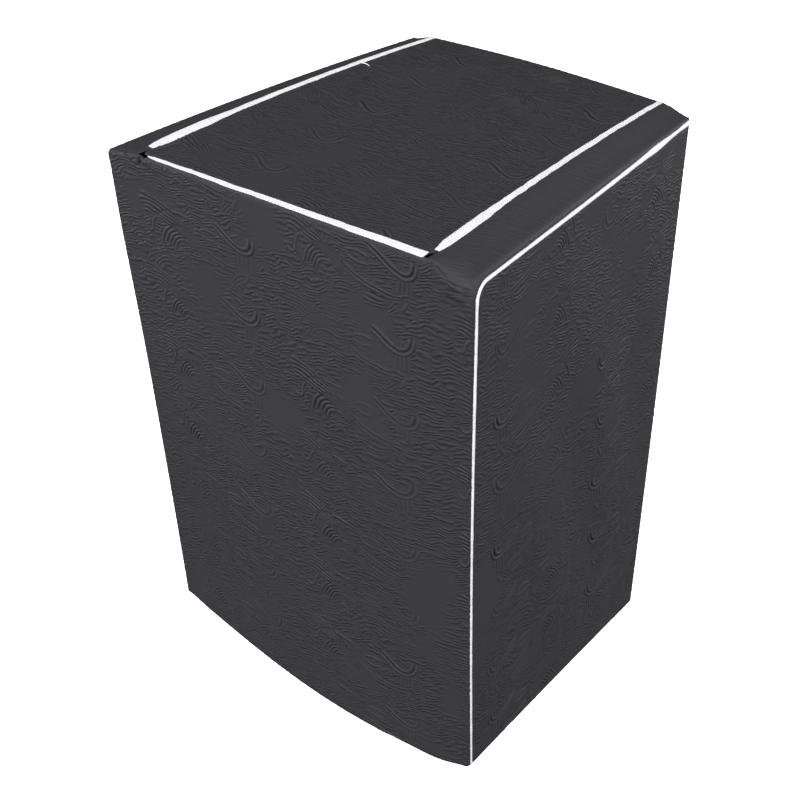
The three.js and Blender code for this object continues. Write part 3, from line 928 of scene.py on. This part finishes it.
# The fine wrinkles' painted shade and painted highlight, as a share of a motif's
WRINKLE_SHARE = 0.62  # of the tone in a motif's lines
WRINKLE_PITCH = 0.0058
WRINKLE_SLANT = 0.22
WRINKLE_BENDS = ((6, 0.050), (34, 0.017), (90, 0.0050))  # noise, and how far it bends them
WRINKLE_FREE = 5.0  # how fast the wrinkles give way to a motif as it deepens
BACKING_TONE_LOW, BACKING_TONE_HIGH = (0.030, 0.030, 0.032), (0.044, 0.044, 0.047)
TAPE_TONE_LOW, TAPE_TONE_HIGH = (0.67, 0.67, 0.70), (0.76, 0.76, 0.79)
TAPE_RIBS = (900, 640, 0)  # round the tape and along it
RIB_HEIGHT, FUZZ_HEIGHT, TAPE_BUMP = 0.5, 1.2, 0.00012

# Patches of noise: nothing below the low mark and all above the high one
Patches = namedtuple("Patches", "scale detail squash low high")
WRINKLE_BREAKS = Patches(60, 0.5, (1, 2.2, 1), 0.38, 0.54)
WRINKLE_AREAS = Patches(10, 1.0, (1, 1, 1), 0.33, 0.47)


def add_node(tree, kind, inputs=(), **settings):
    """A node with its inputs set, or joined to another node's output"""
    node = tree.nodes.new(kind)
    for name, value in settings.items():
        setattr(node, name, value)
    for name, value in dict(inputs).items():
        if isinstance(value, bpy.types.NodeSocket):
            tree.links.new(value, node.inputs[name])
        else:
            node.inputs[name].default_value = value
    return node


def math(tree, operation, *values):
    return add_node(tree, "ShaderNodeMath", enumerate(values), operation=operation).outputs[0]


def new_finish(name, roughness, specular=0.3, sheen=0.0):
    material = bpy.data.materials.new(name)
    material.use_nodes = True
    tree = material.node_tree
    shader = tree.nodes["Principled BSDF"]
    shader.inputs["Roughness"].default_value = roughness
    shader.inputs["Specular IOR Level"].default_value = specular
    shader.inputs["Sheen Weight"].default_value = sheen
    shader.inputs["Sheen Roughness"].default_value = 0.5
    return material, tree, shader


def mixed_tone(tree, amount, low, high):
    """One tone to another; each is a colour or another node's output"""
    low, high = (tone if isinstance(tone, bpy.types.NodeSocket) else (*tone, 1) for tone in (low, high))
    return add_node(tree, "ShaderNodeMix", {0: amount, 6: low, 7: high}, data_type="RGBA").outputs[2]


def flat_noise(tree, scale, detail=2.0, squash=(1, 1, 1)):
    """Noise on the piece's flat map, scale to the metre"""
    flat = add_node(tree, "ShaderNodeUVMap", uv_map="flat").outputs[0]
    sized = add_node(tree, "ShaderNodeMapping", {"Vector": flat, "Scale": squash}).outputs[0]
    sizes = {"Vector": sized, "Scale": scale, "Detail": detail}
    return add_node(tree, "ShaderNodeTexNoise", sizes).outputs["Fac"]


def patchy(tree, patches):
    noise = flat_noise(tree, patches.scale, patches.detail, patches.squash)
    inputs = {"Value": noise, "From Min": patches.low, "From Max": patches.high}
    return add_node(tree, "ShaderNodeMapRange", inputs).outputs[0]


def fine_wrinkles(tree):
    """Short wavy ridges in patches with plain cloth between them: their wave and how deep it is pressed"""
    flat = add_node(tree, "ShaderNodeUVMap", uv_map="flat").outputs[0]
    along, level, _ = add_node(tree, "ShaderNodeSeparateXYZ", {0: flat}).outputs
    level = math(tree, "MULTIPLY_ADD", along, -WRINKLE_SLANT, level)
    for scale, reach in WRINKLE_BENDS:
        level = math(tree, "MULTIPLY_ADD", flat_noise(tree, scale, 0.0), reach, level)
    depth = math(tree, "MULTIPLY", patchy(tree, WRINKLE_BREAKS), patchy(tree, WRINKLE_AREAS))
    return math(tree, "DIVIDE", level, WRINKLE_PITCH), depth


def read_attribute(tree, name):
    return add_node(tree, "ShaderNodeAttribute", attribute_name=name).outputs["Fac"]


def ridge_lines(tree, ridge, depth):
    """The height of ridges, and the lines of painted shade in their grooves and of painted highlight along
    their crests
    """
    wave = math(tree, "ABSOLUTE", math(tree, "COSINE", math(tree, "MULTIPLY", ridge, pi)))
    hollow_shade = math(tree, "SUBTRACT", 1.0, wave)
    lines = []
    for base, use in ((wave, "height"), (hollow_shade, "groove_shade"), (wave, "crest")):
        profile = math(tree, "POWER", base, LINE_POWERS[use])
        lines.append(math(tree, "MULTIPLY", profile, depth))
    return lines


def embossed_cloth():
    material, tree, shader = new_finish("embossed cloth", CLOTH_ROUGHNESS, CLOTH_SPECULAR)
    names = ("ridge", "ridge_depth", "pressing", "hollow_shade")
    ridge, depth, pressing, hollow_shade = (read_attribute(tree, name) for name in names)
    height, groove_shade, crest = ridge_lines(tree, ridge, depth)
    taken = math(tree, "MINIMUM", 1.0, math(tree, "MULTIPLY", depth, WRINKLE_FREE))
    plain = math(tree, "SUBTRACT", 1.0, taken)
    wrinkle, wrinkled = fine_wrinkles(tree)
    fine_depth = math(tree, "MULTIPLY", math(tree, "MULTIPLY", wrinkled, plain), pressing)
    fine_height, fine_groove_shade, fine_crest_highlight = ridge_lines(tree, wrinkle, fine_depth)

    grain = math(tree, "MULTIPLY", flat_noise(tree, GRAIN_SCALE, 2.0), GRAIN_BUMP)
    fine_raised = math(tree, "MULTIPLY", fine_height, WRINKLE_BUMP)
    raised = math(tree, "MULTIPLY_ADD", height, RIDGE_BUMP, fine_raised)
    bump_inputs = {"Height": math(tree, "ADD", raised, grain), "Distance": MM, "Strength": 1.0}
    bump = add_node(tree, "ShaderNodeBump", bump_inputs)
    tree.links.new(bump.outputs[0], shader.inputs["Normal"])

    tone = mixed_tone(tree, flat_noise(tree, 7, 3.0), CLOTH_TONE_LOW, CLOTH_TONE_HIGH)
    # Painted shade in the grooves of the emboss and of the fine wrinkles
    painted_shade = math(tree, "MULTIPLY_ADD", fine_groove_shade, WRINKLE_SHARE, groove_shade)
    # The painted highlight along the crests of the emboss and of the fine wrinkles
    light = math(tree, "MULTIPLY_ADD", fine_crest_highlight, WRINKLE_SHARE, crest)
    tone = mixed_tone(tree, math(tree, "MULTIPLY", painted_shade, GROOVE_SHADE_SHARE), tone, GROOVE_SHADE_TONE)
    tone = mixed_tone(tree, math(tree, "MULTIPLY", light, CREST_HIGHLIGHT_SHARE), tone, CREST_HIGHLIGHT_TONE)
    # Mixes in the painted shade of the deep creases
    tone = mixed_tone(tree, hollow_shade, tone, CREASE_SHADE_TONE)
    tree.links.new(tone, shader.inputs["Base Color"])
    return material


def cloth_backing():
    material, tree, shader = new_finish("cloth backing", 0.85)
    weave = flat_noise(tree, 900, 2.0)
    tone = mixed_tone(tree, weave, BACKING_TONE_LOW, BACKING_TONE_HIGH)
    tree.links.new(tone, shader.inputs["Base Color"])
    bump = add_node(tree, "ShaderNodeBump", {"Height": weave, "Distance": 0.0001})
    tree.links.new(bump.outputs[0], shader.inputs["Normal"])
    return material


def white_tape():
    material, tree, shader = new_finish("white tape", 0.78, specular=0.25, sheen=0.1)
    flat = add_node(tree, "ShaderNodeUVMap", uv_map="flat").outputs[0]
    slant = add_node(tree, "ShaderNodeVectorMath", {0: flat, 1: TAPE_RIBS}, operation="DOT_PRODUCT")
    rib = math(tree, "SINE", math(tree, "MULTIPLY", slant.outputs["Value"], 2 * pi))
    fuzz = math(tree, "MULTIPLY", flat_noise(tree, 1400, 2.0), FUZZ_HEIGHT)
    height = math(tree, "ADD", math(tree, "MULTIPLY", rib, RIB_HEIGHT), fuzz)
    bump = add_node(tree, "ShaderNodeBump", {"Height": height, "Distance": TAPE_BUMP})
    tree.links.new(bump.outputs[0], shader.inputs["Normal"])
    tone = mixed_tone(tree, flat_noise(tree, 30, 2.0), TAPE_TONE_LOW, TAPE_TONE_HIGH)
    tree.links.new(tone, shader.inputs["Base Color"])
    return material


# The studio

FLOOR_SIZE = 40
FLOOR_TONE = (0.93, 0.93, 0.93)
FLOOR_GLOW = 0.85  # keeps the floor white all over
SKY_TONE, SKY_STRENGTH = (0.97, 0.98, 1.0), 0.12
COVER_MIDDLE = Vector((0, 0, 0.45))

Softbox = namedtuple("Softbox", "name toward distance size power")
SOFTBOXES = (
    Softbox("front key", (-0.10, -1.0, 0.62), 9.0, 3.0, 950),
    Softbox("side key", (1.0, -0.10, 0.58), 9.0, 3.0, 790),
    Softbox("left light", (-1.0, -0.35, 0.18), 6.0, 2.0, 160),
    Softbox("rear light", (0.55, 1.0, 0.18), 6.0, 2.0, 160),
)


def add_camera():
    azimuth, elevation, roll = (radians(a) for a in (CAMERA_AZIMUTH, CAMERA_ELEVATION, CAMERA_ROLL))
    back = Vector((sin(azimuth) * cos(elevation), -cos(azimuth) * cos(elevation), sin(elevation)))
    level = Vector((0, 0, 1)).cross(back).normalized()
    upright = back.cross(level)
    right = level * cos(roll) + upright * sin(roll)
    up = upright * cos(roll) - level * sin(roll)
    camera = bpy.data.objects.new("camera", bpy.data.cameras.new("camera"))
    camera.data.lens = CAMERA_LENS
    camera.location = CAMERA_TARGET + back * CAMERA_DISTANCE
    camera.rotation_euler = Matrix((right, up, back)).transposed().to_euler()
    bpy.context.scene.collection.objects.link(camera)
    bpy.context.scene.camera = camera


def add_softbox(softbox):
    """A square soft light that looks at the cover's middle"""
    lamp = bpy.data.lights.new(softbox.name, "AREA")
    lamp.size = softbox.size
    lamp.energy = softbox.power
    light = bpy.data.objects.new(softbox.name, lamp)
    direction = Vector(softbox.toward).normalized()
    light.location = COVER_MIDDLE + direction * softbox.distance
    light.rotation_euler = direction.to_track_quat("Z", "Y").to_euler()
    bpy.context.scene.collection.objects.link(light)


def add_floor():
    bm = bmesh.new()
    bmesh.ops.create_grid(bm, x_segments=1, y_segments=1, size=FLOOR_SIZE)
    mesh = bpy.data.meshes.new("floor")
    bm.to_mesh(mesh)
    bm.free()
    floor = bpy.data.objects.new("floor", mesh)
    material, tree, shader = new_finish("pale floor", 0.9)
    shader.inputs["Base Color"].default_value = (*FLOOR_TONE, 1)
    shader.inputs["Emission Color"].default_value = (1, 1, 1, 1)
    shader.inputs["Emission Strength"].default_value = FLOOR_GLOW
    mesh.materials.append(material)
    bpy.context.scene.collection.objects.link(floor)
    floor.visible_diffuse = False
    floor.visible_glossy = False


def light_studio():
    scene = bpy.context.scene
    scene.view_settings.view_transform = "Standard"
    world = bpy.data.worlds.new("studio")
    world.use_nodes = True
    sky = world.node_tree.nodes["Background"]
    sky.inputs["Color"].default_value = (*SKY_TONE, 1)
    sky.inputs["Strength"].default_value = SKY_STRENGTH
    scene.world = world
    for softbox in SOFTBOXES:
        add_softbox(softbox)


def dress_trim(tape, sides):
    trim = [sew_front_tape(tape), sew_tape_tail(tape)]
    front_row = lambda t: STITCH_ROW * mix(FRONT_TAPE_WIDTH[-1], FRONT_TAPE_WIDTH[1], t)
    trim.append(sew_stitches("stitches_front", front_tape_line, (0, 1, 0), front_row, tape))
    for word, side in sides.items():
        line = side_tape_line(side)
        row = lambda t: -side * STITCH_ROW * side_tape_width(side, line(t)[:, 1] - FRONT_Y)
        trim.append(sew_side_tape(side, word, tape))
        trim.append(sew_stitches(f"stitches_{word}", line, (1, 0, 0), row, tape))
        trim.append(sew_piping(side, word, tape))
    return trim


def dress_cover():
    cloth, backing, tape = embossed_cloth(), cloth_backing(), white_tape()
    sides = {"left": -1, "right": 1}
    trim = dress_trim(tape, sides)
    band = sew_band(cloth, backing)
    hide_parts("front_band")
    for word, side in sides.items():
        panel = sew_side(side, word, cloth, backing)
        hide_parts(f"side_{word}")
    back = sew_back(cloth, backing)
    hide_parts("back_panel")
    flap = sew_flap(cloth, backing)
    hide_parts("top_flap")


add_camera()
light_studio()
add_floor()
dress_cover()
